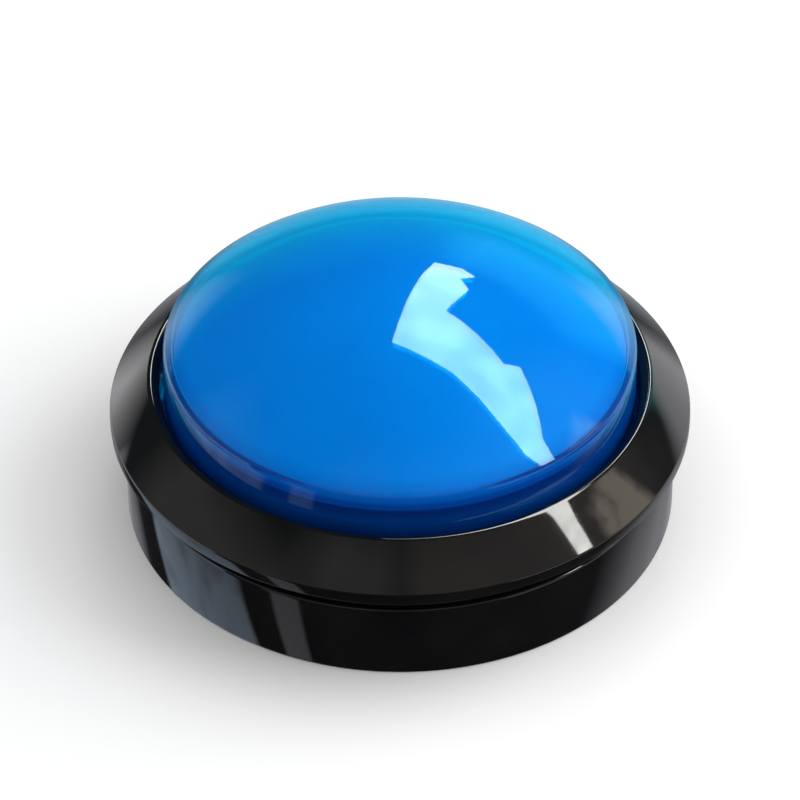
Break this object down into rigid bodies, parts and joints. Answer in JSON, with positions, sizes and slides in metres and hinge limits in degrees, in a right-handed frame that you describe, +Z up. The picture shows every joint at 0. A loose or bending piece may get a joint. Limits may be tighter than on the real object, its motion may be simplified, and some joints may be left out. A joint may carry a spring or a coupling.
{
  "type": "quiz buzzer",
  "caption": "Large round dome push button with a clear blue cap in a black bezel and drum, lit from inside, with a threaded panel neck, nut, lamp holder and lever microswitch.",
  "frame": {"origin": "middle of the base's underside, where it sits on its panel and the neck goes through", "axes": "+Z up out of the dome, along the neck; +X towards the switch's side, +Y along the switch's case"},
  "size_m": [0.1, 0.1, 0.1109],
  "materials": {
    "black_abs": "glossy",
    "soft_black": "satin",
    "blue_lens": "glossy, clear coloured plastic",
    "diffuser_white": "satin",
    "zinc_screw": "satin",
    "spring_steel": "satin",
    "brass_strip": "satin",
    "silver_contact": "satin",
    "lamp_plastic": "satin",
    "milky_sleeve": "satin",
    "diode": "glossy",
    "button_red": "satin",
    "switch_grey": "satin"
  },
  "bodies": {
    "case": {"base_housing": "black_abs", "bezel_ring": "black_abs", "case_screws": "zinc_screw", "return_spring": "spring_steel", "panel_nut": "soft_black", "lamp_holder": "soft_black", "lamp_contacts": "brass_strip", "led_wedge_base": "lamp_plastic", "led_sleeve": "milky_sleeve", "led_chip": "diode", "led_leads": "spring_steel", "switch_case": "switch_grey", "switch_cover": "switch_grey", "lever_pin": "spring_steel", "fixed_contacts": "silver_contact", "terminal_com": "brass_strip", "terminal_no": "brass_strip", "terminal_nc": "brass_strip"},
    "button_cap": {"dome_lens": "blue_lens", "diffuser_cap": "diffuser_white", "plunger": "soft_black", "cap_screws": "zinc_screw"},
    "lever": {"switch_lever": "spring_steel"},
    "switch_pin": {"switch_button": "button_red"},
    "blade": {"moving_blade": "brass_strip", "blade_contact": "silver_contact"}
  },
  "joints": [
    {"name": "dome_press", "type": "slide", "parent": "case", "child": "button_cap", "axis": [0, 0, -1], "range_m": [0, 0.005], "stiffness_N_per_m": 460, "springref_m": -0.007, "deforming": ["return_spring"]},
    {"name": "lever_swing", "type": "hinge", "parent": "case", "child": "lever", "pos_m": [0.00815, -0.0205, -0.0387], "axis": [-1, 0, 0], "range_deg": [0, 13.62]},
    {"name": "switch_pin_slide", "type": "slide", "parent": "case", "child": "switch_pin", "axis": [0, 0, -1], "range_m": [0, 0.00145]},
    {"name": "blade_swing", "type": "hinge", "parent": "case", "child": "blade", "pos_m": [0.00815, -0.0197, -0.048], "axis": [-1, 0, 0], "range_deg": [0, 3.4]}
  ],
  "couplings": [
    {"joint": "lever_swing", "follows": "dome_press", "rad_per_m": 47.5},
    {"joint": "switch_pin_slide", "follows": "dome_press", "ratio": 0.2894},
    {"joint": "blade_swing", "follows": "dome_press", "rad_per_m": 11.86}
  ]
}
